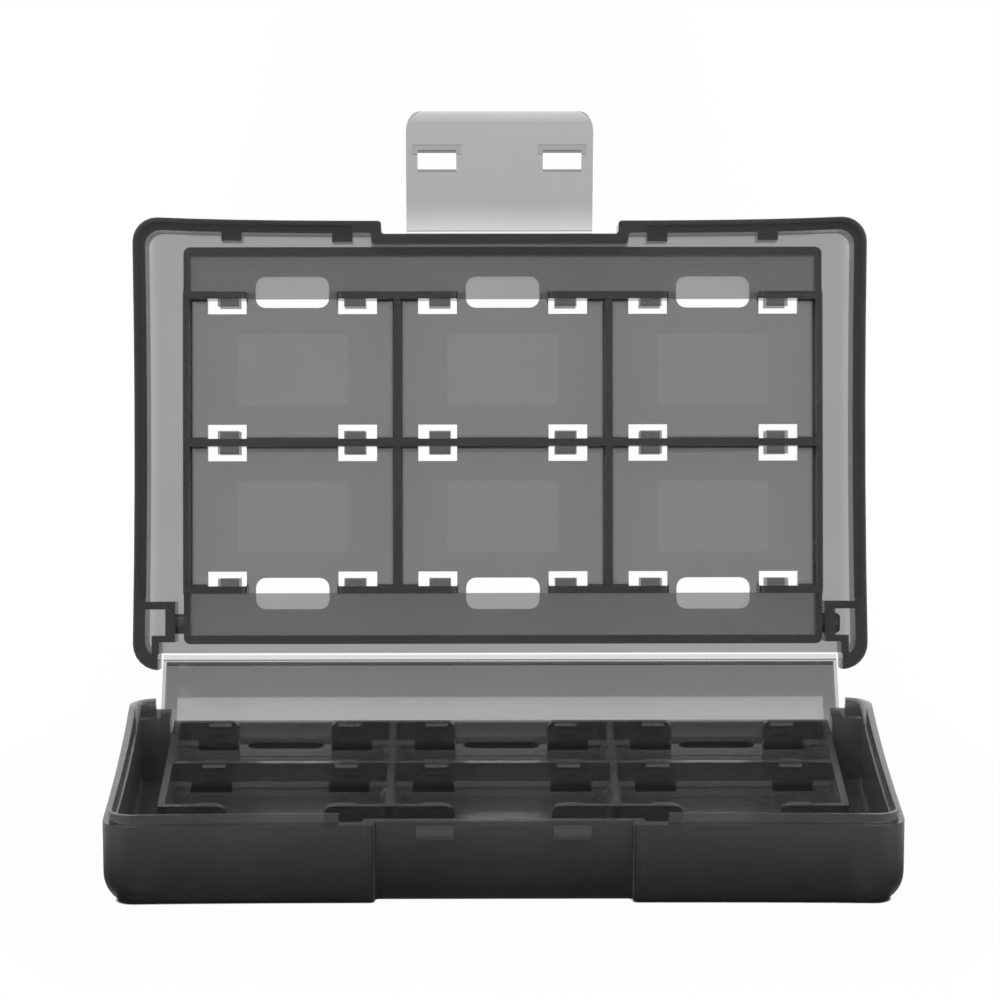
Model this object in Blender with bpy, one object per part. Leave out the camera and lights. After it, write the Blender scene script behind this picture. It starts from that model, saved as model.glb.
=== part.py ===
"""Game card case of smoky plastic, standing open as photographed.

Two shallow shells, a spine panel between them and a latch flap are joined by thin film hinges.
Each shell carries a two-sided card tray that swings on a pair of stub pins at its hinge end.

Each piece is drawn flat in its own frame: X across the case, Y (called s) away from the hinge,
Z (called d) up from the outer face into the case. Empties on the joint axes then pose the pieces.
"""

import math

import bmesh
import bpy

# overall sizes, in metres
CASE_WIDTH = 0.115
CASE_DEPTH = 0.0709
SHELL_HEIGHT = 0.0115
PARTING_GAP = 0.0003
WALL = 0.0019
BAY_WALL = 0.00155
FLOOR = 0.0012
FILM = 0.00035
TOUCH_GAP = 0.0003
OVERRUN = 0.003

# pose of the open case, in degrees
SPINE_LEAN_DEG = 53.6
LID_RECLINE_DEG = 13.3
FLAP_LEAN_DEG = 28.5

# shell outline
FRONT_SAG = 0.00058
SIDE_BOW = 0.0003
FRONT_CORNER_R = 0.0038
REAR_CORNER_R = 0.0041
CORNER_SHARE = 0.75
SIDE_EDGE_R = 0.0037
END_EDGE_R = 0.0007
CAVITY_EDGE_R = 0.0005
HINGE_INSET = 0.00183
LATCH_BAY_WIDTH = 0.0372
LATCH_BAY_DEPTH = 0.00203
BAY_FILLET_R = 0.0005
CORNER_WALL = 0.0039
CORNER_STEPS = 6
EDGE_STEPS = 7
CAVITY_STEPS = 2
FRONT_STEPS = 6
SIDE_STEPS = 5

# shell floor, rim and ribs
WINDOW_SIDE_BAND = 0.008
WINDOW_REAR_BAND = 0.01193
WINDOW_FRONT_BAND = 0.0124
WINDOW_CORNER_R = 0.001
LIP_BAY_GAP = 0.005
LIP_BRACKET_GAP = 0.0008
LIP_SHELF = 0.00082
LIP_THICK = 0.00048
LIP_HEIGHT = 0.0015
LIP_ROOT = 0.001
REBATE_CLEAR = 0.00012
REBATE_EXTRA = 0.0004
RIB_WIDTH = 0.0032
RIB_REACH = 0.0013
RIB_DROP = 0.002
RIB_PLACE_SHARES = (0.43, 0.732)

# rear corner brackets
BRACKET_DROP = 0.0005
BRACKET_WALL = 0.0012
BRACKET_FRONT = 0.0089
BRACKET_SHELF = 0.00255
BRACKET_SHELF_WALL = 0.001
BRACKET_TAIL_SETBACK = 0.0002
PIVOT_WALL = 0.00155
PIVOT_WALL_INSET = 0.0066

# spine panel
SPINE_SETBACK = 0.00063
SPINE_SIDE_GAP = 0.0003
PAD_MARGIN = 0.0006
PAD_END_MARGIN = 0.0013
PAD_THICK = 0.0015
PAD_CHAMFER = 0.0006
PAD_CHAMFER_DROP = 0.00015
PANEL_SIDE = 0.00195
PANEL_LOWER = 0.0016
PANEL_TOP_BAND = 0.007
PANEL_SINK = 0.00065

# latch flap and its catches
FLAP_SIDE_GAP = 0.00388
FLAP_FOOT_GAP = 0.00225
FLAP_THICK = 0.001
FLAP_CORNER_R = 0.0029
FLAP_AXIS_OUT = 0.00055
FLAP_START = 0.00055
FLAP_TAPER = 0.0044
FLAP_LIP = 0.0021
FLAP_LIP_RISE = 0.0006
FLAP_TIP_SHARE = 0.25
FLAP_TIP_THICK_SHARE = 0.33
FLAP_INNER_END_SHARE = 0.33
CATCH_PLACE_SHARE = 0.67
CATCH_WIDTH = 0.0054
CATCH_DROP = 0.0005
CATCH_HEIGHT = 0.0019
CATCH_REACH = 0.0011
CATCH_RAMP_REACH = 0.0003
CATCH_LAND_SHARE = 0.25
CATCH_HOOK_CLEAR = 0.00025
CATCH_TOP_CLEAR = 0.0012
CATCH_SIDE_CLEAR = 0.00035
LEDGE_WIDTH = 0.0077
LEDGE_HEIGHT = 0.00135
LEDGE_RISE = 0.0002

# trays
TRAY_END_PLAY = 0.0008
TRAY_FLOOR_GAP = 0.00045
TRAY_RIM_GAP = 0.0003
TRAY_FRONT_GAP = 0.0004
TRAY_PIVOT = 0.00537
TRAY_CORNER_R = 0.001
LID_TRAY_SHIFT = 0.00045
CELL_FLOOR = 0.00185
CELL_EDGE_R = 0.001
CELL_EDGE_STEPS = 2
STRIP_FLOOR = 0.00115
FRAME_WALL = 0.001
END_WALL = 0.00135
DIVIDER = 0.001
CARD_WALL = 0.00115
MIDDLE_WALL = 0.00118
STRIP_THICK = 0.0052
REAR_STRIP = 0.00657
FRONT_STRIP = 0.00568
PIVOT_FROM_REAR = 0.00316
COLUMNS = 3

# finger notches, clip windows and clips of a tray
NOTCH_SIDE = 0.00121
NOTCH_LENGTH = 0.00493
NOTCH_R = 0.00155
FRONT_NOTCH_INTO_CELL = 0.0013
REAR_NOTCH_INTO_CELL = 0.0013
WALL_END_R = 0.0012
WALL_END_STEPS = 4
CLIP_WINDOW_WIDTH = 0.0061
CLIP_WINDOW_MARGIN = 0.00274
CLIP_WINDOW_LENGTH = 0.00228
CLIP_WINDOW_SETBACK = 0.0002
CLIP_WIDTH = 0.00336
CLIP_REACH = 0.00125
CLIP_THICK = 0.0013
CLIP_CHAMFER = 0.0003
CLIP_ROOT = 0.0004
CLIP_DROP = 0.00005
PANEL_SIDE_BAND = 0.00733
PANEL_END_BAND = 0.00537
PANEL_DEPTH = 0.00007

# pivot pins
PIN_R = 0.0016
PIN_REACH = 0.0029
PIN_CHAMFER = 0.0004
PIN_ROOT = 0.0006
PIN_CLEAR = 0.00008
PIN_STEPS = 28

# faces that meet at a turn between these two are shaded as one curved surface
SMOOTH_FROM = math.radians(0.5)
SMOOTH_TO = math.radians(33)

# worked out from the sizes above
AXIS = FILM / 2
HALF = CASE_WIDTH / 2
FRONT = CASE_DEPTH - HINGE_INSET
MID_S = (FRONT - HINGE_INSET) / 2
BAY_FACE = FRONT - FRONT_SAG - LATCH_BAY_DEPTH
SPINE_LENGTH = 2 * SHELL_HEIGHT + PARTING_GAP - 2 * AXIS
FLAP_AXIS = BAY_FACE + FLAP_AXIS_OUT
HINGE_HALF = HALF - CORNER_WALL
FILM_HALF = HINGE_HALF - SPINE_SIDE_GAP
BAY_HALF = LATCH_BAY_WIDTH / 2
WINDOW_REAR = WINDOW_REAR_BAND - HINGE_INSET
WINDOW_FRONT = FRONT - WINDOW_FRONT_BAND
FLAP_HALF = BAY_HALF - FLAP_SIDE_GAP
FLAP_LENGTH = SPINE_LENGTH + AXIS - FLAP_FOOT_GAP
CATCH_TOP = SHELL_HEIGHT - CATCH_DROP
CATCH_FOOT = CATCH_TOP - CATCH_HEIGHT
PIVOT_WALL_INNER = HALF - PIVOT_WALL_INSET
TRAY_WIDTH = 2 * (PIVOT_WALL_INNER - TRAY_END_PLAY)
TRAY_THICK = SHELL_HEIGHT - FLOOR - TRAY_FLOOR_GAP - TRAY_RIM_GAP
TRAY_MIDDLE = FLOOR + TRAY_FLOOR_GAP + TRAY_THICK / 2
TRAY_REAR = -PIVOT_FROM_REAR
TRAY_FRONT = BAY_FACE - BAY_WALL - TRAY_FRONT_GAP - TRAY_PIVOT
BLOCK_REAR = TRAY_REAR + END_WALL + REAR_STRIP
BLOCK_FRONT = TRAY_FRONT - END_WALL - FRONT_STRIP
CELL_LENGTH = (BLOCK_FRONT - BLOCK_REAR - 2 * CARD_WALL - MIDDLE_WALL) / 2
CELL_1 = BLOCK_REAR + CARD_WALL
CELL_2 = CELL_1 + CELL_LENGTH + MIDDLE_WALL
CELL_WIDTH = (TRAY_WIDTH - 2 * FRAME_WALL - (COLUMNS - 1) * DIVIDER) / COLUMNS
CELL_PITCH = CELL_WIDTH + DIVIDER
CLIP_WINDOW_INNER = CELL_WIDTH / 2 - CLIP_WINDOW_MARGIN - CLIP_WINDOW_WIDTH
WALL_GAP = 2 * (CLIP_WINDOW_INNER - CLIP_WINDOW_SETBACK)
NOTCH_WIDTH = WALL_GAP - 2 * NOTCH_SIDE


# small solids, added to a bmesh
def add_loft(bm, rings):
    """A closed solid through rings of points, each ring a list of (x, y, z) with the same count."""
    loops = [[bm.verts.new(point) for point in ring] for ring in rings]
    count = len(loops[0])
    for low, high in zip(loops, loops[1:]):
        for i in range(count):
            j = (i + 1) % count
            bm.faces.new((low[i], low[j], high[j], high[i]))
    bm.faces.new(tuple(reversed(loops[0])))
    bm.faces.new(tuple(loops[-1]))


def add_plan(bm, outline, low, high):
    """A plan outline of (x, s) points raised from d = low to d = high."""
    add_loft(bm, [[(x, s, d) for x, s in outline] for d in (low, high)])


def add_section(bm, profile, left, right):
    """A section of (s, d) points drawn across the case from x = left to x = right."""
    add_loft(bm, [[(x, s, d) for s, d in profile] for x in (left, right)])


def add_box(bm, x_range, s_range, d_range):
    (x0, x1), (s0, s1) = x_range, s_range
    add_plan(bm, [(x0, s0), (x1, s0), (x1, s1), (x0, s1)], *d_range)


def add_rod(bm, stations, centre_s, centre_d):
    """A turned rod along X through stations of (x, radius)."""
    turns = [2 * math.pi * i / PIN_STEPS for i in range(PIN_STEPS)]
    rings = [
        [(x, centre_s + r * math.cos(a), centre_d + r * math.sin(a)) for a in turns]
        for x, r in stations
    ]
    add_loft(bm, rings)


def rounded_rectangle(width, s0, s1, radius, steps=CORNER_STEPS, middle=0.0):
    """Plan points of a rectangle with round corners, centred on x = middle."""
    half = width / 2 - radius
    centres = ((half, s0 + radius), (half, s1 - radius), (-half, s1 - radius), (-half, s0 + radius))
    points = []
    for corner, (x, s) in enumerate(centres):
        for i in range(steps + 1):
            a = math.pi / 2 * (corner - 1 + i / steps)
            points.append((middle + x + radius * math.cos(a), s + radius * math.sin(a)))
    return points


# objects, cuts and joins
def smoky_plastic(name, shade, roughness, clearness):
    material = bpy.data.materials.new(name)
    material.use_nodes = True
    surface = material.node_tree.nodes["Principled BSDF"]
    surface.inputs["Base Color"].default_value = (shade, shade, shade, 1)
    surface.inputs["Roughness"].default_value = roughness
    surface.inputs["Metallic"].default_value = 0
    surface.inputs["Transmission Weight"].default_value = clearness
    surface.inputs["IOR"].default_value = 1.49
    material.diffuse_color = (shade, shade, shade, 1)
    return material


def new_object(name, bm):
    """An object from bm. Faces of a curved surface are smooth and flat faces stay flat."""
    bmesh.ops.recalc_face_normals(bm, faces=bm.faces[:])
    for edge in bm.edges:
        turn = edge.calc_face_angle(0.0)
        if SMOOTH_FROM < turn < SMOOTH_TO:
            for face in edge.link_faces:
                face.smooth = True
    mesh = bpy.data.meshes.new(name)
    bm.to_mesh(mesh)
    bm.free()
    mesh.set_sharp_from_angle(angle=SMOOTH_TO)
    obj = bpy.data.objects.new(name, mesh)
    bpy.context.collection.objects.link(obj)
    return obj


def piece(name, bm, material, parent, offset=(0, 0, 0)):
    obj = new_object(name, bm)
    obj.data.materials.append(material)
    obj.parent = parent
    obj.location = offset
    return obj


def work(obj, label, operation, bm):
    """Cuts, joins or trims obj by the solids in bm, which stay as a hidden helper beside it."""
    helper = new_object(obj.name + "." + label, bm)
    helper.parent = obj
    helper.hide_render = True
    helper.display_type = "WIRE"
    modifier = obj.modifiers.new(label, "BOOLEAN")
    modifier.operation = operation
    modifier.solver = "EXACT"
    modifier.object = helper


def pivot(name, parent, place, turn_deg=0.0, about="X"):
    """An empty on a joint's axis, turned by the pose of the open case."""
    empty = bpy.data.objects.new(name, None)
    empty.empty_display_size = WALL
    bpy.context.collection.objects.link(empty)
    empty.parent = parent
    empty.location = place
    empty.rotation_euler["XYZ".index(about)] = math.radians(turn_deg)
    return empty


# shells
def side_x(s, inset):
    """Half width of the shell at s: the long sides bow in a little between the corners."""
    reach = (FRONT + HINGE_INSET) / 2 - REAR_CORNER_R
    along = min(abs(s - MID_S) / reach, 1.0)
    return HALF - inset - SIDE_BOW * (1 - along**2)


def front_s(x, inset):
    """Front face of the shell at x: it sags in from both corners towards the latch bay."""
    reach = HALF - FRONT_CORNER_R
    return FRONT - inset - FRONT_SAG * (1 - min(abs(x) / reach, 1.0) ** 4)


def arc(centre_x, centre_s, radius, start, end, steps):
    turns = [math.radians(start + (end - start) * i / steps) for i in range(steps + 1)]
    return [(centre_x + radius * math.cos(a), centre_s + radius * math.sin(a)) for a in turns]


def corner_radius(radius, side_inset):
    """Corners of an inner line are tighter, by less than its inset."""
    return radius - CORNER_SHARE * side_inset


def side_half(insets, start_s):
    """Right side of the outline from start_s up to the front corner, then round the corner.

    Insets are those of the long side, of the two ends and of the latch bay.
    """
    side, end, _ = insets
    radius = corner_radius(FRONT_CORNER_R, side)
    top = FRONT - end - radius
    points = []
    for i in range(SIDE_STEPS + 1):
        s = start_s + (top - start_s) * i / SIDE_STEPS
        points.append((side_x(s, side), s))
    corner_x = side_x(top, side) - radius
    points += arc(corner_x, top, radius, 0, 90, CORNER_STEPS)[1:]
    return points, corner_x


def front_half(inset, corner_x, end_x):
    """Front edge from the corner towards the middle, ending at end_x."""
    steps = [corner_x + (end_x - corner_x) * i / FRONT_STEPS for i in range(1, FRONT_STEPS + 1)]
    return [(x, front_s(x, inset)) for x in steps]


def bay_half(end_inset, bay_inset):
    """Step of the front wall at one side of the latch bay, rounded at its head and its foot."""
    edge = BAY_HALF + bay_inset
    head = front_s(edge + BAY_FILLET_R, end_inset) - BAY_FILLET_R
    foot = BAY_FACE - bay_inset + BAY_FILLET_R
    head_arc = arc(edge + BAY_FILLET_R, head, BAY_FILLET_R, 90, 180, 3)
    return head_arc[1:] + arc(edge - BAY_FILLET_R, foot, BAY_FILLET_R, 0, -90, 3)


def mirrored(half):
    """A closed outline from its right half, listed from the rear to the front."""
    return half + [(-x, s) for x, s in reversed(half)]


def rear_corner(insets):
    """Centre and radius of the rounded rear corner at these insets."""
    side, end, _ = insets
    radius = corner_radius(REAR_CORNER_R, side)
    return HALF - side - radius, end + radius - HINGE_INSET, radius


def outline_from(rear_points, insets):
    """The outline at these insets: the given points, then the long side, the front and the bay."""
    _, end, bay = insets
    sides, corner_x = side_half(insets, rear_corner(insets)[1])
    front = front_half(end, corner_x, BAY_HALF + bay + BAY_FILLET_R)
    return mirrored(rear_points + sides + front + bay_half(end, bay))


def rear_arc(insets, start_deg):
    return arc(*rear_corner(insets), start_deg, 0, CORNER_STEPS)[:-1]


def shell_outline(insets):
    return outline_from(rear_arc(insets, -90), insets)


def cavity_outline(extra):
    """Inside of the walls. Between the rear corner walls the shell is open to the hinge."""
    insets = (WALL + extra, WALL + extra, BAY_WALL + extra)
    corner_x, _, radius = rear_corner(insets)
    start = -math.degrees(math.acos((HINGE_HALF - corner_x) / radius))
    return outline_from([(HINGE_HALF, -OVERRUN)] + rear_arc(insets, start), insets)


def add_shell_body(bm):
    """The outside: the floor turns up into the long sides in a wide round and into the two ends
    in a small one, and the latch bay's face goes straight down."""
    rings = []
    for i in range(EDGE_STEPS + 1):
        a = math.pi / 2 * i / EDGE_STEPS
        height = SIDE_EDGE_R * (1 - math.cos(a))
        below = max(END_EDGE_R - height, 0.0)
        end = END_EDGE_R - math.sqrt(END_EDGE_R**2 - below**2)
        insets = (SIDE_EDGE_R * (1 - math.sin(a)), end, 0.0)
        rings.append([(x, s, height) for x, s in shell_outline(insets)])
    rings.append([(x, s, SHELL_HEIGHT) for x, s in shell_outline((0.0, 0.0, 0.0))])
    add_loft(bm, rings)


def add_cavity(bm):
    rings = []
    for i in range(CAVITY_STEPS + 1):
        a = math.pi / 2 * i / CAVITY_STEPS
        extra = CAVITY_EDGE_R * (1 - math.sin(a))
        height = FLOOR + CAVITY_EDGE_R * (1 - math.cos(a))
        rings.append([(x, s, height) for x, s in cavity_outline(extra)])
    rings.append([(x, s, SHELL_HEIGHT + OVERRUN) for x, s in cavity_outline(0.0)])
    add_loft(bm, rings)


def add_hinge_gate(bm):
    """Room for the film and the closed spine: the floor's hinge edge between the rear corners."""
    add_box(
        bm,
        (-HINGE_HALF, HINGE_HALF),
        (-OVERRUN, SPINE_SETBACK),
        (-OVERRUN, SHELL_HEIGHT + OVERRUN),
    )


def add_floor_window(bm):
    width = 2 * (HALF - WINDOW_SIDE_BAND)
    outline = rounded_rectangle(width, WINDOW_REAR, WINDOW_FRONT, WINDOW_CORNER_R, 3)
    add_plan(bm, outline, -OVERRUN, FLOOR + OVERRUN)


def bracket_outline(side):
    """Plan of one rear bracket: front wall, pivot wall, shelf and tail in one folded band."""
    inner = PIVOT_WALL_INNER
    outer = inner + PIVOT_WALL
    tail = HINGE_HALF - BRACKET_TAIL_SETBACK
    tail_out = tail + BRACKET_WALL
    tail_end = WALL / 2 - HINGE_INSET
    shelf = BRACKET_SHELF
    shelf_top = shelf + BRACKET_SHELF_WALL
    root = side_x(BRACKET_FRONT, WALL / 2)
    front_in = BRACKET_FRONT - BRACKET_WALL
    points = [
        (root, BRACKET_FRONT),
        (inner, BRACKET_FRONT),
        (inner, shelf),
        (tail, shelf),
        (tail, tail_end),
        (tail_out, tail_end),
        (tail_out, shelf_top),
        (outer, shelf_top),
        (outer, front_in),
        (root, front_in),
    ]
    return [(side * x, s) for x, s in points]


def add_brackets(bm):
    for side in (1, -1):
        add_plan(bm, bracket_outline(side), FLOOR / 2, SHELL_HEIGHT - BRACKET_DROP)


def add_ribs(bm):
    """Stop ribs on the inside of the front wall, short of the rim."""
    for share in RIB_PLACE_SHARES:
        for x in (share * HALF, -share * HALF):
            wall = front_s(x, WALL)
            add_box(
                bm,
                (x - RIB_WIDTH / 2, x + RIB_WIDTH / 2),
                (wall - RIB_REACH, wall + WALL / 2),
                (FLOOR / 2, SHELL_HEIGHT - RIB_DROP),
            )


def add_pivot_bores(bm):
    for side in (1, -1):
        x0 = side * (PIVOT_WALL_INNER - WALL)
        x1 = side * (PIVOT_WALL_INNER + PIVOT_WALL + TOUCH_GAP)
        bore = PIN_R + PIN_CLEAR
        add_rod(bm, [(x0, bore), (x1, bore)], TRAY_PIVOT, TRAY_MIDDLE)


def rim_path(inset, extra):
    """Right half of a line along the rim, from the bracket round the corner towards the bay."""
    start = BRACKET_FRONT + LIP_BRACKET_GAP - extra
    sides, corner_x = side_half((inset, inset, inset), start)
    return sides + front_half(inset, corner_x, BAY_HALF + LIP_BAY_GAP - extra)


def add_rim_bands(bm, outer, inner, extra, low, high):
    """The band between two rim lines on both sides, longer at each end by extra."""
    band = rim_path(outer, extra) + list(reversed(rim_path(inner, extra)))
    for side in (1, -1):
        add_plan(bm, [(side * x, s) for x, s in band], low, high)


def build_shell(name, material, parent):
    bm = bmesh.new()
    add_shell_body(bm)
    shell = piece(name, bm, material, parent, (0, 0, -AXIS))
    for label, operation, add in (
        ("cavity", "DIFFERENCE", add_cavity),
        ("brackets", "UNION", add_brackets),
        ("ribs", "UNION", add_ribs),
        ("hinge_gate", "DIFFERENCE", add_hinge_gate),
        ("floor_window", "DIFFERENCE", add_floor_window),
        ("pivot_bores", "DIFFERENCE", add_pivot_bores),
    ):
        bm = bmesh.new()
        add(bm)
        work(shell, label, operation, bm)
    return shell


def add_lip(bm):
    """Raised lip of the base, set in from the outside by LIP_SHELF."""
    top = SHELL_HEIGHT + LIP_HEIGHT
    add_rim_bands(bm, LIP_SHELF, LIP_SHELF + LIP_THICK, 0.0, SHELL_HEIGHT - LIP_ROOT, top)


def add_rebate(bm):
    """Rebate in the lid's rim that takes the lip of the base."""
    low = SHELL_HEIGHT + PARTING_GAP - LIP_HEIGHT - REBATE_EXTRA
    high = SHELL_HEIGHT + OVERRUN
    add_rim_bands(bm, LIP_SHELF - REBATE_CLEAR, WALL + TOUCH_GAP, REBATE_EXTRA, low, high)


def add_catches(bm):
    """Two wedges on the base's bay face. The flap rides down the ramp and hooks under the foot."""
    root = BAY_FACE - BAY_WALL / 2
    profile = [
        (root, CATCH_FOOT),
        (BAY_FACE + CATCH_REACH, CATCH_FOOT),
        (BAY_FACE + CATCH_REACH, CATCH_FOOT + CATCH_HEIGHT * CATCH_LAND_SHARE),
        (BAY_FACE + CATCH_RAMP_REACH, CATCH_TOP),
        (root, CATCH_TOP),
    ]
    for side in (1, -1):
        middle = side * CATCH_PLACE_SHARE * FLAP_HALF
        add_section(bm, profile, middle - CATCH_WIDTH / 2, middle + CATCH_WIDTH / 2)


def build_base(material, parent):
    shell = build_shell("base_shell", material, parent)
    bm = bmesh.new()
    add_lip(bm)
    add_catches(bm)
    work(shell, "lip_and_catches", "UNION", bm)


def build_lid(material, parent):
    shell = build_shell("lid_shell", material, parent)
    bm = bmesh.new()
    add_rebate(bm)
    work(shell, "rebate", "DIFFERENCE", bm)


# spine, films and latch flap
def rectangle(half, s0, s1):
    return [(-half, s0), (half, s0), (half, s1), (-half, s1)]


def build_spine(material, parent):
    """A skin as thin as the film with a thick pad on its inner side, panelled in the middle."""
    start = SPINE_SETBACK
    end = SPINE_LENGTH - SPINE_SETBACK
    skin = rectangle(FILM_HALF, start, end)
    pad_half = FILM_HALF - PAD_MARGIN
    pad = rectangle(pad_half, start + PAD_END_MARGIN, end - PAD_END_MARGIN)
    inset = PAD_END_MARGIN + PAD_CHAMFER
    top = rectangle(pad_half - PAD_CHAMFER, start + inset, end - inset)
    shoulder = PAD_THICK - PAD_CHAMFER_DROP
    levels = (
        (skin, 0.0),
        (skin, FILM),
        (pad, FILM),
        (pad, shoulder),
        (top, PAD_THICK),
    )
    bm = bmesh.new()
    add_loft(bm, [[(x, s, d) for x, s in outline] for outline, d in levels])
    spine = piece("spine_panel", bm, material, parent, (0, 0, -AXIS))
    low = start + PAD_END_MARGIN + PANEL_LOWER
    high = end - PAD_END_MARGIN - PANEL_TOP_BAND
    panel = rectangle(pad_half - PANEL_SIDE, low, high)
    bm = bmesh.new()
    add_plan(bm, panel, PAD_THICK - PANEL_SINK, PAD_THICK + OVERRUN)
    work(spine, "sunk_panel", "DIFFERENCE", bm)


def film_profile(before, after, turn_deg, steps=6):
    """Section of a bent film of the thickness FILM round the axis: in along -s, out after a turn."""
    turn = math.radians(turn_deg)
    ends = ((-before, 0.0), (after * math.cos(turn), after * math.sin(turn)))
    middle = []
    for i in range(steps + 1):
        t = i / steps
        weights = ((1 - t) ** 2, t**2)
        middle.append(tuple(sum(w * end[k] for w, end in zip(weights, ends)) for k in (0, 1)))
    upper = []
    lower = []
    for i, (s, d) in enumerate(middle):
        a = turn * i / steps
        normal = (-math.sin(a) * AXIS, math.cos(a) * AXIS)
        upper.append((s + normal[0], d + normal[1]))
        lower.append((s - normal[0], d - normal[1]))
    return lower + list(reversed(upper))


def build_film(name, material, parent, half, before, after, turn_deg):
    """The parent empty already has the piece after the axis along s, so the film is turned back."""
    turn = math.radians(turn_deg)
    profile = [
        (s * math.cos(turn) + d * math.sin(turn), d * math.cos(turn) - s * math.sin(turn))
        for s, d in film_profile(before, after, turn_deg)
    ]
    bm = bmesh.new()
    add_section(bm, profile, -half, half)
    piece(name, bm, material, parent)


def flap_profile():
    """Section of the flap: it thickens outwards from the film and ends in a lip turned outwards."""
    inner = AXIS
    outer = inner - FLAP_THICK
    full = FLAP_START + FLAP_TAPER
    lip = FLAP_LENGTH - FLAP_LIP
    return [
        (FLAP_START, inner),
        (FLAP_START, inner - FILM),
        (full, outer),
        (lip, outer),
        (FLAP_LENGTH - FLAP_LIP * FLAP_TIP_SHARE, outer - FLAP_LIP_RISE),
        (FLAP_LENGTH, outer - FLAP_LIP_RISE + FLAP_THICK * FLAP_TIP_THICK_SHARE),
        (lip + FLAP_LIP * FLAP_INNER_END_SHARE, inner),
    ]


def build_flap(material, parent):
    bm = bmesh.new()
    add_section(bm, flap_profile(), -FLAP_HALF, FLAP_HALF)
    flap = piece("latch_flap", bm, material, parent)
    bm = bmesh.new()
    corner = (FLAP_HALF - FLAP_CORNER_R, FLAP_LENGTH - FLAP_CORNER_R)
    outline = mirrored([(FLAP_HALF, 0.0)] + arc(*corner, FLAP_CORNER_R, 0, 90, CORNER_STEPS))
    add_plan(bm, outline, -OVERRUN, OVERRUN)
    work(flap, "round_corners", "INTERSECT", bm)
    near = SPINE_LENGTH + AXIS - CATCH_TOP - CATCH_TOP_CLEAR
    far = SPINE_LENGTH + AXIS - CATCH_FOOT + CATCH_HOOK_CLEAR
    width = CATCH_WIDTH + 2 * CATCH_SIDE_CLEAR
    ledges = bmesh.new()
    windows = bmesh.new()
    for side in (1, -1):
        middle = side * CATCH_PLACE_SHARE * FLAP_HALF
        x_range = (middle - LEDGE_WIDTH / 2, middle + LEDGE_WIDTH / 2)
        ledge_d = (AXIS - FLAP_THICK / 2, AXIS + LEDGE_RISE)
        add_box(ledges, x_range, (far - CATCH_HOOK_CLEAR, far + LEDGE_HEIGHT), ledge_d)
        x_range = (middle - width / 2, middle + width / 2)
        add_box(windows, x_range, (near, far), (-OVERRUN, OVERRUN))
    work(flap, "ledges", "UNION", ledges)
    work(flap, "catch_windows", "DIFFERENCE", windows)


# trays
def column_middles():
    return [CELL_PITCH * (i - (COLUMNS - 1) / 2) for i in range(COLUMNS)]


def faces(low, high):
    """The same band of heights on both faces of a tray."""
    return ((low, high), (-high, -low))


def tray_profile():
    """Lengthwise section: low strips at both ends and the full-height card block between them."""
    block = TRAY_THICK / 2
    strip = STRIP_THICK / 2
    upper = [
        (TRAY_REAR, strip),
        (BLOCK_REAR, strip),
        (BLOCK_REAR, block),
        (BLOCK_FRONT, block),
        (BLOCK_FRONT, strip),
        (TRAY_FRONT, strip),
    ]
    return upper + [(s, -d) for s, d in reversed(upper)]


def add_cells(bm):
    """The cells of both faces. A fillet runs round the foot of each cell's walls."""
    half = CELL_WIDTH / 2
    levels = []
    for i in range(CELL_EDGE_STEPS + 1):
        a = math.pi / 2 * i / CELL_EDGE_STEPS
        inset = CELL_EDGE_R * (1 - math.sin(a))
        levels.append((inset, CELL_FLOOR / 2 + CELL_EDGE_R * (1 - math.cos(a))))
    levels.append((0.0, TRAY_THICK))
    for x in column_middles():
        for start in (CELL_1, CELL_2):
            for face in (1, -1):
                rings = []
                for inset, d in levels:
                    low = start + inset
                    high = start + CELL_LENGTH - inset
                    left = x - half + inset
                    right = x + half - inset
                    plan = ((left, low), (right, low), (right, high), (left, high))
                    rings.append([(px, s, face * d) for px, s in plan])
                add_loft(bm, rings)


def add_strips(bm):
    half = TRAY_WIDTH / 2 - FRAME_WALL
    for s_range in (
        (TRAY_REAR + END_WALL, BLOCK_REAR),
        (BLOCK_FRONT, TRAY_FRONT - END_WALL),
    ):
        for d_range in faces(STRIP_FLOOR / 2, TRAY_THICK):
            add_box(bm, (-half, half), s_range, d_range)


def add_wall_gaps(bm):
    """Gaps in the two outer card walls, where a fingertip reaches a card through its notch.

    The walls end upright and are rounded off at the top.
    """
    half = WALL_GAP / 2
    top = TRAY_THICK / 2
    end = arc(half + WALL_END_R, top - WALL_END_R, WALL_END_R, 180, 90, WALL_END_STEPS)
    section = mirrored([(half, CELL_FLOOR / 2)] + end + [(half + WALL_END_R, TRAY_THICK)])
    for middle in column_middles():
        for s_range in ((BLOCK_REAR, CELL_1), (BLOCK_FRONT - CARD_WALL, BLOCK_FRONT)):
            for face in (1, -1):
                add_loft(bm, [[(middle + x, s, face * d) for x, d in section] for s in s_range])


def add_gap_floors(bm):
    """Level floor in each gap: the fillet at the foot of the wall stops there."""
    half = WALL_GAP / 2
    front = BLOCK_FRONT - CARD_WALL
    for x in column_middles():
        for s_range in ((BLOCK_REAR, CELL_1 + CELL_EDGE_R), (front - CELL_EDGE_R, BLOCK_FRONT)):
            for d_range in faces(CELL_FLOOR / 2, TRAY_THICK):
                add_box(bm, (x - half, x + half), s_range, d_range)


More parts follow.
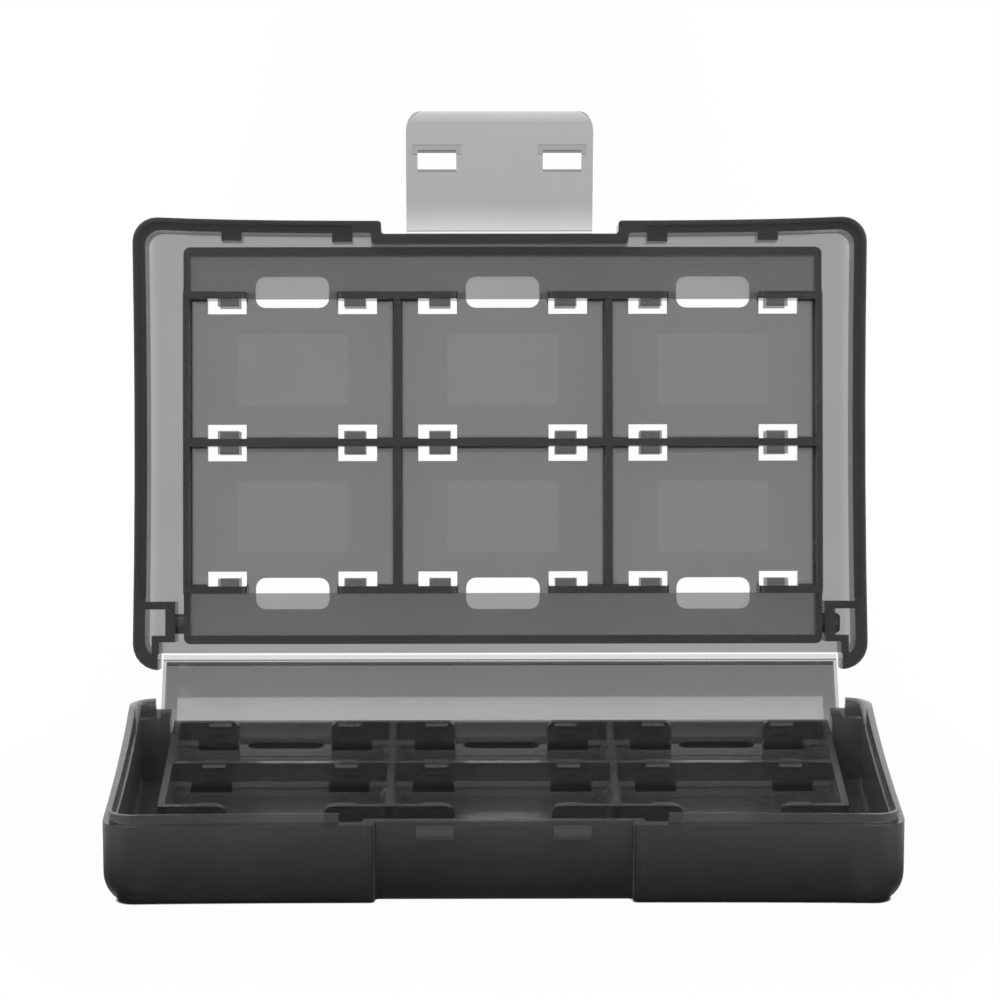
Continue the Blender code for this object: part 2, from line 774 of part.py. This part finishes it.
def add_floor_holes(bm):
    """Finger notches and clip windows, all cut through the tray's floor."""
    front = BLOCK_FRONT - CARD_WALL - FRONT_NOTCH_INTO_CELL
    rear = CELL_1 + REAR_NOTCH_INTO_CELL
    rows = ((CELL_1, 1), (CELL_1 + CELL_LENGTH, -1), (CELL_2, 1), (CELL_2 + CELL_LENGTH, -1))
    for x in column_middles():
        for s_range in ((front, front + NOTCH_LENGTH), (rear - NOTCH_LENGTH, rear)):
            outline = rounded_rectangle(NOTCH_WIDTH, *s_range, NOTCH_R, 4, x)
            add_plan(bm, outline, -OVERRUN, OVERRUN)
        for side in (1, -1):
            near = x + side * CLIP_WINDOW_INNER
            x_range = sorted((near, near + side * CLIP_WINDOW_WIDTH))
            for wall, inward in rows:
                s_range = sorted((wall, wall + inward * CLIP_WINDOW_LENGTH))
                add_box(bm, x_range, s_range, (-OVERRUN, OVERRUN))


def clip_profile(wall, inward, face):
    """Section of one clip: a small hook at the top of a card wall, sloped on its way in."""
    top = TRAY_THICK / 2 - CLIP_DROP
    tip = wall + inward * CLIP_REACH
    root = wall - inward * CLIP_ROOT
    profile = [
        (root, top),
        (tip - inward * CLIP_CHAMFER, top),
        (tip, top - CLIP_CHAMFER),
        (tip, top - CLIP_THICK),
        (root, top - CLIP_THICK),
    ]
    return [(s, face * d) for s, d in profile]


def add_clips(bm):
    rows = ((CELL_1, 1), (CELL_1 + CELL_LENGTH, -1), (CELL_2, 1), (CELL_2 + CELL_LENGTH, -1))
    spread = (WALL_GAP + CLIP_WIDTH) / 2 + WALL_END_R
    for x in column_middles():
        for side in (1, -1):
            middle = x + side * spread
            for wall, inward in rows:
                for face in (1, -1):
                    profile = clip_profile(wall, inward, face)
                    add_section(bm, profile, middle - CLIP_WIDTH / 2, middle + CLIP_WIDTH / 2)


def add_tray_plan(bm):
    outline = rounded_rectangle(TRAY_WIDTH, TRAY_REAR, TRAY_FRONT, TRAY_CORNER_R, 3)
    add_plan(bm, outline, -TRAY_THICK, TRAY_THICK)


def add_cell_panels(bm):
    """Shallow sunk rectangle in the middle of each cell floor, on both faces."""
    low = CELL_FLOOR / 2 - PANEL_DEPTH
    half = CELL_WIDTH / 2 - PANEL_SIDE_BAND
    for x in column_middles():
        for start in (CELL_1, CELL_2):
            s_range = (start + PANEL_END_BAND, start + CELL_LENGTH - PANEL_END_BAND)
            for d_range in faces(low, CELL_FLOOR):
                add_box(bm, (x - half, x + half), s_range, d_range)


def add_pins(bm):
    """Stub pins on the tray's side walls, with chamfered tips."""
    root = TRAY_WIDTH / 2 - PIN_ROOT
    tip = TRAY_WIDTH / 2 + PIN_REACH
    for side in (1, -1):
        stations = (
            (side * root, PIN_R),
            (side * (tip - PIN_CHAMFER), PIN_R),
            (side * tip, PIN_R - PIN_CHAMFER),
        )
        add_rod(bm, stations, 0.0, 0.0)


def build_tray(name, material, parent):
    bm = bmesh.new()
    add_section(bm, tray_profile(), -TRAY_WIDTH / 2, TRAY_WIDTH / 2)
    tray = piece(name, bm, material, parent)
    for label, operation, add in (
        ("plan", "INTERSECT", add_tray_plan),
        ("cells", "DIFFERENCE", add_cells),
        ("strips", "DIFFERENCE", add_strips),
        ("wall_gaps", "DIFFERENCE", add_wall_gaps),
        ("gap_floors", "DIFFERENCE", add_gap_floors),
        ("cell_panels", "DIFFERENCE", add_cell_panels),
        ("floor_holes", "DIFFERENCE", add_floor_holes),
        ("clips", "UNION", add_clips),
        ("pins", "UNION", add_pins),
    ):
        bm = bmesh.new()
        add(bm)
        work(tray, label, operation, bm)


# assembly
def rear_reach():
    """How far the leaning lid's back edge lies behind the base hinge."""
    lean = math.radians(SPINE_LEAN_DEG)
    recline = math.radians(LID_RECLINE_DEG)
    up = (FRONT - END_EDGE_R) * math.sin(recline)
    out = (AXIS - END_EDGE_R) * math.cos(recline) + END_EDGE_R
    return SPINE_LENGTH * math.sin(lean) + up + out


def build_case():
    shell_plastic = smoky_plastic("shell_plastic", 0.045, 0.2, 0.9)
    tray_plastic = smoky_plastic("tray_plastic", 0.04, 0.25, 0.9)
    film_plastic = smoky_plastic("film_plastic", 0.6, 0.2, 0.9)

    hinge_y = (FRONT - rear_reach()) / 2
    frame = pivot("case_frame", None, (0, hinge_y, AXIS))
    base_side = pivot("base_side", frame, (0, 0, 0), 180, "Z")
    spine_side = pivot("base_hinge_axis", frame, (0, 0, 0), 90 - SPINE_LEAN_DEG)
    fold = SPINE_LEAN_DEG - LID_RECLINE_DEG
    lid_side = pivot("lid_hinge_axis", spine_side, (0, SPINE_LENGTH, 0), fold)
    flap_side = pivot("latch_hinge_axis", lid_side, (0, FLAP_AXIS, 0), FLAP_LEAN_DEG)
    tray_axis = (TRAY_PIVOT, TRAY_MIDDLE - AXIS)
    base_tray_side = pivot("base_tray_axis", base_side, (0, *tray_axis))
    lid_tray_side = pivot("lid_tray_axis", lid_side, (LID_TRAY_SHIFT, *tray_axis))

    build_base(shell_plastic, base_side)
    build_lid(shell_plastic, lid_side)
    build_spine(shell_plastic, spine_side)
    build_flap(shell_plastic, flap_side)
    reach = SPINE_SETBACK - TOUCH_GAP
    build_film("base_hinge_film", film_plastic, spine_side, FILM_HALF, reach, reach, 90 - SPINE_LEAN_DEG)
    build_film("lid_hinge_film", film_plastic, lid_side, FILM_HALF, reach, reach, fold)
    before = FLAP_AXIS_OUT - TOUCH_GAP
    after = FLAP_START - TOUCH_GAP
    build_film("latch_hinge_film", film_plastic, flap_side, FLAP_HALF, before, after, FLAP_LEAN_DEG)
    build_tray("base_tray", tray_plastic, base_tray_side)
    build_tray("lid_tray", tray_plastic, lid_tray_side)


for old in list(bpy.data.objects):
    bpy.data.objects.remove(old)
build_case()
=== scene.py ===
"""Looks of the smoky plastic game card case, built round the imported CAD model."""

import math

import bpy
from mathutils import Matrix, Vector


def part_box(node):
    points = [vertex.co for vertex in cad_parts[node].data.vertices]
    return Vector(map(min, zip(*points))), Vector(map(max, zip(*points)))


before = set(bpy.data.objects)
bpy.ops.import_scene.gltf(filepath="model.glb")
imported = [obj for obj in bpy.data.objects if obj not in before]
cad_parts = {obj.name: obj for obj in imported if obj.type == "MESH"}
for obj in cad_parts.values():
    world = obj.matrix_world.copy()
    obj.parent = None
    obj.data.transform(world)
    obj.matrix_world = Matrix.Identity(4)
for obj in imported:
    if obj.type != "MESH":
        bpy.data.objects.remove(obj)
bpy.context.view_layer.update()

# light taken up per metre, haze of outer and of inner faces, and the light let through edge faces, where
# any share under one is painted shade that darkens the edges
BASE_FINISH = (740.0, 0.085, 0.3, 0.6)
LID_FINISH = (740.0, 0.085, 0.085, 0.6)
TRAY_FINISH = (824.0, 0.1, 0.1, 0.6)
FLAP_FINISH = (640.0, 0.05, 0.05, 0.33)
SPINE_FINISH = (770.0, 0.085, 0.085, 0.33)
FILM_FINISH = (540.0, 0.03, 0.03, 1.0)
FINISHES = {
    "base_shell": BASE_FINISH,
    "lid_shell": LID_FINISH,
    "base_tray": TRAY_FINISH,
    "lid_tray": TRAY_FINISH,
    "latch_flap": FLAP_FINISH,
    "spine_panel": SPINE_FINISH,
    "base_hinge_film": FILM_FINISH,
    "lid_hinge_film": FILM_FINISH,
    "latch_hinge_film": FILM_FINISH,
}
# nodes whose edge faces take the painted edge shade only near the two ends of the plate, as a dark band
# along each end
SHADED_EDGES_AT_ENDS = ("spine_panel",)
END_STRIP = 0.0025
EDGE_FROM = 0.35
EDGE_TO = 0.7

# surface of the plastic
FACE_SHINE = 0.046
GRAZING_POWER = 5.0
BODY_COLOUR = (0.25, 0.25, 0.255)
BODY_ROUGHNESS = 0.5
MARKS = {"Scale": 900.0, "Detail": 3.0, "Roughness": 0.6}
MARKS_SPAN = (0.2, 0.8)
POLISH = (0.12, 0.24)
FLOW = {"Scale": 60.0, "Detail": 2.0, "Roughness": 0.5}
FLOW_SPAN = (0.3, 0.7)
CLOUD = (0.85, 1.15)

# floor, with lengths in metres; it carries painted shade round the case, and painted shadow under the
# case and where the case meets it
FLOOR_SIDE = 8.0
FLOOR_DROP = 0.00002
FLOOR_GLOW = 0.985
FLOOR_COLOUR = 0.85
# painted shade on the floor round the case: its colour at and under the case, its share straight before
# and behind the case, the width over which that share fades to the sides, and how far it reaches from
# the base's outline
SHADED_FLOOR = 0.09
FRONT_PAINTED_SHADE = 0.6
SIDE_FADE = 0.02
SHADED_REACH = 0.045
FOOTPRINT_CORNER_R = 0.0036
# painted shadows seen by the camera: under the case from this inset within the base's outline, and a
# contact line where the case comes near the floor
UNDERSIDE_INSET = 0.0035
CONTACT_REACH = 0.0006
CONTACT_OPEN = (0.5, 0.8)
CONTACT_SAMPLES = 8

# light: strength by direction, then place, diameter in metres and power in watts of each lamp
FRONT_LIGHT = 0.4
SIDE_LIGHT = 1.1
LAMP_AIM = (0, 0, 0.03)
KEY_LIGHT = ((-0.5, -0.5, 0.9), 0.6, 4.0)
FILL_LIGHT = ((0.6, -0.3, 0.6), 0.5, 2.0)

# photograph's camera
ELEVATION_DEG = 12.894
DISTANCE = 0.78591
FOCAL_PX = 5332.0
FRAME_PX = 1000.0
SENSOR_MM = 36.0
NEAR_CLIP = 0.01
AIM = (0.0, -0.01673, 0.0513)
SIDE_STEP = -0.0053
FAR_AIM_Y = 0.035
CLEAR_BOUNCES = 64


# nodes of a shader
def new_material(name):
    material = bpy.data.materials.new(name)
    material.use_nodes = True
    tree = material.node_tree
    tree.nodes.clear()
    return material, tree


def add_node(tree, kind, **values):
    """A node of the kind, with plain values for its inputs, given by name with _ for a space."""
    node = tree.nodes.new("ShaderNode" + kind)
    for name, value in values.items():
        node.inputs[name.replace("_", " ")].default_value = value
    return node


def math_node(tree, operation, *values):
    """Maths on one to three values, each a number or a socket."""
    node = tree.nodes.new("ShaderNodeMath")
    node.operation = operation
    for socket, value in zip(node.inputs, values):
        if isinstance(value, (int, float)):
            socket.default_value = value
        else:
            tree.links.new(value, socket)
    return node.outputs[0]


def map_range(tree, value, start, end, low=0.0, high=1.0):
    """The value taken from start to end onto low to high, with soft ends."""
    node = add_node(tree, "MapRange", From_Min=start, From_Max=end, To_Min=low, To_Max=high)
    node.interpolation_type = "SMOOTHSTEP"
    tree.links.new(value, node.inputs["Value"])
    return node.outputs["Result"]


def vector_node(tree, operation, first, second):
    """Vector maths on two vectors or sockets. A dot product gives a value, all else a vector."""
    node = tree.nodes.new("ShaderNodeVectorMath")
    node.operation = operation
    for socket, value in zip(node.inputs, (first, second)):
        if isinstance(value, bpy.types.NodeSocket):
            tree.links.new(value, socket)
        else:
            socket.default_value = value
    return node.outputs["Value" if operation == "DOT_PRODUCT" else "Vector"]


def mix_shaders(tree, share, first, second):
    """The first shader where the share is zero, and the second where it is one."""
    node = tree.nodes.new("ShaderNodeMixShader")
    for socket, value in zip(node.inputs, (share, first, second)):
        tree.links.new(value, socket)
    return node.outputs[0]


def coordinates(tree, kind):
    """X, Y and Z of the kind of texture coordinate."""
    place = tree.nodes.new("ShaderNodeTexCoord")
    split = tree.nodes.new("ShaderNodeSeparateXYZ")
    tree.links.new(place.outputs[kind], split.inputs[0])
    return split.outputs


# smoky plastic
def middle_of(node):
    low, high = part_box(node)
    return (Vector(low) + Vector(high)) / 2


def plate_normal(node):
    """Direction that the node's largest flat faces share, whichever side they are on."""
    weights = {}
    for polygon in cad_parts[node].data.polygons:
        normal = polygon.normal if polygon.normal.z > 0 else -polygon.normal
        key = tuple(round(part, 2) for part in normal)
        weights[key] = weights.get(key, 0.0) + polygon.area
    return Vector(max(weights, key=weights.get)).normalized()


def near_ends(tree, node, place):
    """One on the strips along the plate's upper and lower end, and zero between them."""
    low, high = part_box(node)
    along = plate_normal(node).cross((1, 0, 0))
    half = math.hypot(high[1] - low[1], high[2] - low[2]) / 2
    from_middle = vector_node(tree, "SUBTRACT", place.outputs["Object"], middle_of(node))
    reach = math_node(tree, "ABSOLUTE", vector_node(tree, "DOT_PRODUCT", from_middle, along))
    return map_range(tree, reach, half - 2 * END_STRIP, half - END_STRIP)


def painted_edge_shade(tree, node, place, edge_shade):
    """One on the faces of the node's plate, and the edge shade on the edge faces that stand across it, a
    painted shade that darkens the edges.

    A node that is shaded at its ends keeps one on its edge faces between the two end strips, so there
    its edges carry no painted shade.
    """
    across = vector_node(tree, "DOT_PRODUCT", place.outputs["Normal"], plate_normal(node))
    edge_shaded = map_range(tree, math_node(tree, "ABSOLUTE", across), EDGE_FROM, EDGE_TO, edge_shade, 1.0)
    if node not in SHADED_EDGES_AT_ENDS:
        return edge_shaded
    # painted shade only on the strips along the plate's two ends
    ends = near_ends(tree, node, place)
    darker = math_node(tree, "MULTIPLY", ends, math_node(tree, "SUBTRACT", 1.0, edge_shaded))
    return math_node(tree, "SUBTRACT", 1.0, darker)


def inner_faces(tree, node, place):
    """One on faces that look towards the middle of the node, and zero on those that look away."""
    inwards = vector_node(tree, "SUBTRACT", middle_of(node), place.outputs["Object"])
    facing = vector_node(tree, "DOT_PRODUCT", inwards, place.outputs["Normal"])
    return math_node(tree, "GREATER_THAN", facing, 0.0)


def noise(tree, place, kind, span, low, high):
    """Cloudy noise fixed to the object, with its span taken onto low to high."""
    pattern = add_node(tree, "TexNoise", **kind)
    tree.links.new(place.outputs["Object"], pattern.inputs["Vector"])
    return map_range(tree, pattern.outputs["Fac"], *span, low, high)


def see_through(node, density, haze, inside_haze, edge_shade):
    """Clear plastic whose body takes up light: faces that mirror by angle, and absorption inside."""
    material, tree = new_material("smoky_" + node)
    link = tree.links.new
    out = tree.nodes.new("ShaderNodeOutputMaterial")
    place = tree.nodes.new("ShaderNodeTexCoord")

    clear = add_node(tree, "BsdfTransparent")
    # painted shade: the edge faces let less light through, which darkens the edges
    link(painted_edge_shade(tree, node, place, edge_shade), clear.inputs["Color"])
    body = add_node(tree, "BsdfDiffuse", Color=(*BODY_COLOUR, 1), Roughness=BODY_ROUGHNESS)
    inner = inner_faces(tree, node, place)
    strength = math_node(tree, "MULTIPLY_ADD", inner, inside_haze - haze, haze)
    cloudy = math_node(tree, "MULTIPLY", strength, noise(tree, place, FLOW, FLOW_SPAN, *CLOUD))
    hazy = mix_shaders(tree, cloudy, clear.outputs[0], body.outputs[0])

    weight = add_node(tree, "LayerWeight", Blend=0.5)
    grazing = math_node(tree, "POWER", weight.outputs["Facing"], GRAZING_POWER)
    shine = math_node(tree, "MULTIPLY_ADD", grazing, 1 - FACE_SHINE, FACE_SHINE)
    gloss = add_node(tree, "BsdfGlossy", Color=(1, 1, 1, 1))
    link(noise(tree, place, MARKS, MARKS_SPAN, *POLISH), gloss.inputs["Roughness"])
    link(mix_shaders(tree, shine, hazy, gloss.outputs[0]), out.inputs["Surface"])

    smoke = add_node(tree, "VolumeAbsorption", Color=(0, 0, 0, 1), Density=density)
    link(smoke.outputs[0], out.inputs["Volume"])
    return material


for node, finish in FINISHES.items():
    plastic = see_through(node, *finish)
    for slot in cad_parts[node].material_slots:
        slot.material = plastic


# floor
def beyond_footprint(tree):
    """How far a point of the floor lies outside the base's rounded outline, and less than zero in it."""
    low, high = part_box("base_shell")
    point = coordinates(tree, "Object")
    past = []
    for axis in (0, 1):
        half = (high[axis] - low[axis]) / 2 - FOOTPRINT_CORNER_R
        off = math_node(tree, "SUBTRACT", point[axis], (high[axis] + low[axis]) / 2)
        past.append(math_node(tree, "SUBTRACT", math_node(tree, "ABSOLUTE", off), half))
    outside = [math_node(tree, "MAXIMUM", side, 0.0) for side in past]
    squares = [math_node(tree, "MULTIPLY", side, side) for side in outside]
    far = math_node(tree, "SQRT", math_node(tree, "ADD", *squares))
    within = math_node(tree, "MINIMUM", math_node(tree, "MAXIMUM", *past), 0.0)
    return math_node(tree, "SUBTRACT", math_node(tree, "ADD", far, within), FOOTPRINT_CORNER_R)


def painted_front_shade(tree):
    """Painted shade: the floor straight before and behind the case is a little darker than at its sides.
    """
    case_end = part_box("base_shell")[1][0]
    off = math_node(tree, "ABSOLUTE", coordinates(tree, "Object")["X"])
    return map_range(tree, off, case_end, case_end + SIDE_FADE, FRONT_PAINTED_SHADE, 1.0)


def floor_material():
    """White to the camera, but for a painted contact shadow, a dark line where the case meets the floor,
    and a painted shadow under the case, where the camera sees the dull floor with its painted shade.
    """
    material, tree = new_material("pale_floor")
    out = tree.nodes.new("ShaderNodeOutputMaterial")
    beyond = beyond_footprint(tree)
    # painted shade: the dull floor is darker near and under the case, and straight before and behind it
    shade = map_range(tree, beyond, 0.0, SHADED_REACH, SHADED_FLOOR, FLOOR_COLOUR)
    dull = tree.nodes.new("ShaderNodeBsdfDiffuse")
    tree.links.new(math_node(tree, "MULTIPLY", shade, painted_front_shade(tree)), dull.inputs["Color"])
    glow = add_node(tree, "Emission", Color=(1, 1, 1, 1), Strength=1.0)
    # painted contact shadow: the white seen by the camera goes dark where the case comes near the floor,
    # found by ambient occlusion
    contact = add_node(tree, "AmbientOcclusion", Distance=CONTACT_REACH)
    contact.samples = CONTACT_SAMPLES
    clear_of_contact_shadow = map_range(tree, contact.outputs["AO"], *CONTACT_OPEN)
    # painted shadow under the case: there the camera sees the dull, darkened floor instead of white
    outside = map_range(tree, beyond, -2 * UNDERSIDE_INSET, -UNDERSIDE_INSET)
    path = tree.nodes.new("ShaderNodeLightPath")
    seen = math_node(tree, "MULTIPLY", path.outputs["Is Camera Ray"], FLOOR_GLOW)
    clear_of_painted_shadow = math_node(tree, "MULTIPLY", clear_of_contact_shadow, outside)
    white = math_node(tree, "MULTIPLY", seen, clear_of_painted_shadow)
    surface = mix_shaders(tree, white, dull.outputs[0], glow.outputs[0])
    tree.links.new(surface, out.inputs["Surface"])
    return material


bpy.ops.mesh.primitive_plane_add(size=FLOOR_SIDE, location=(0, 0, -FLOOR_DROP))
floor = bpy.context.object
floor.name = "floor"
floor.data.materials.append(floor_material())


# light
def studio_light(tree):
    """Strength by direction: bright from the sides, the back and above, and dim from the front."""
    direction = coordinates(tree, "Generated")
    side = math_node(tree, "ABSOLUTE", direction["X"])
    back = math_node(tree, "MAXIMUM", side, direction["Y"])
    away = math_node(tree, "MAXIMUM", back, direction["Z"])
    return map_range(tree, away, 0.0, 1.0, FRONT_LIGHT, SIDE_LIGHT)


def light_studio():
    """A world that lights the case by direction and is white to the camera."""
    world = bpy.data.worlds.new("studio")
    bpy.context.scene.world = world
    world.use_nodes = True
    tree = world.node_tree
    tree.nodes.clear()
    out = tree.nodes.new("ShaderNodeOutputWorld")
    soft = add_node(tree, "Background", Color=(1, 1, 1, 1))
    tree.links.new(studio_light(tree), soft.inputs["Strength"])
    white = add_node(tree, "Background", Color=(1, 1, 1, 1), Strength=1.0)
    path = tree.nodes.new("ShaderNodeLightPath")
    shown = mix_shaders(tree, path.outputs["Is Camera Ray"], soft.outputs[0], white.outputs[0])
    tree.links.new(shown, out.inputs["Surface"])


def area_light(name, place, size, power):
    lamp = bpy.data.lights.new(name, "AREA")
    lamp.shape = "DISK"
    lamp.size = size
    lamp.energy = power
    obj = bpy.data.objects.new(name, lamp)
    bpy.context.scene.collection.objects.link(obj)
    obj.location = place
    obj.rotation_euler = (Vector(LAMP_AIM) - Vector(place)).to_track_quat("-Z", "Y").to_euler()


light_studio()
area_light("key_light", *KEY_LIGHT)
area_light("fill_light", *FILL_LIGHT)


# camera
def set_camera():
    """The photograph's camera: a little left of the middle, turned towards the far aim."""
    camera = bpy.data.cameras.new("camera")
    camera.lens = FOCAL_PX / FRAME_PX * SENSOR_MM
    camera.sensor_width = SENSOR_MM
    camera.clip_start = NEAR_CLIP
    view = bpy.data.objects.new("camera", camera)
    bpy.context.scene.collection.objects.link(view)
    tilt = math.radians(ELEVATION_DEG)
    spot = Vector(AIM) + DISTANCE * Vector((0, -math.cos(tilt), math.sin(tilt)))
    turn = math.atan2(-SIDE_STEP, FAR_AIM_Y - spot.y)
    view.location = (SIDE_STEP, spot.y, spot.z)
    view.rotation_euler = (math.pi / 2 - tilt, 0, -turn)
    bpy.context.scene.camera = view


set_camera()
bpy.context.scene.view_settings.view_transform = "Standard"
bpy.context.scene.cycles.transparent_max_bounces = CLEAR_BOUNCES
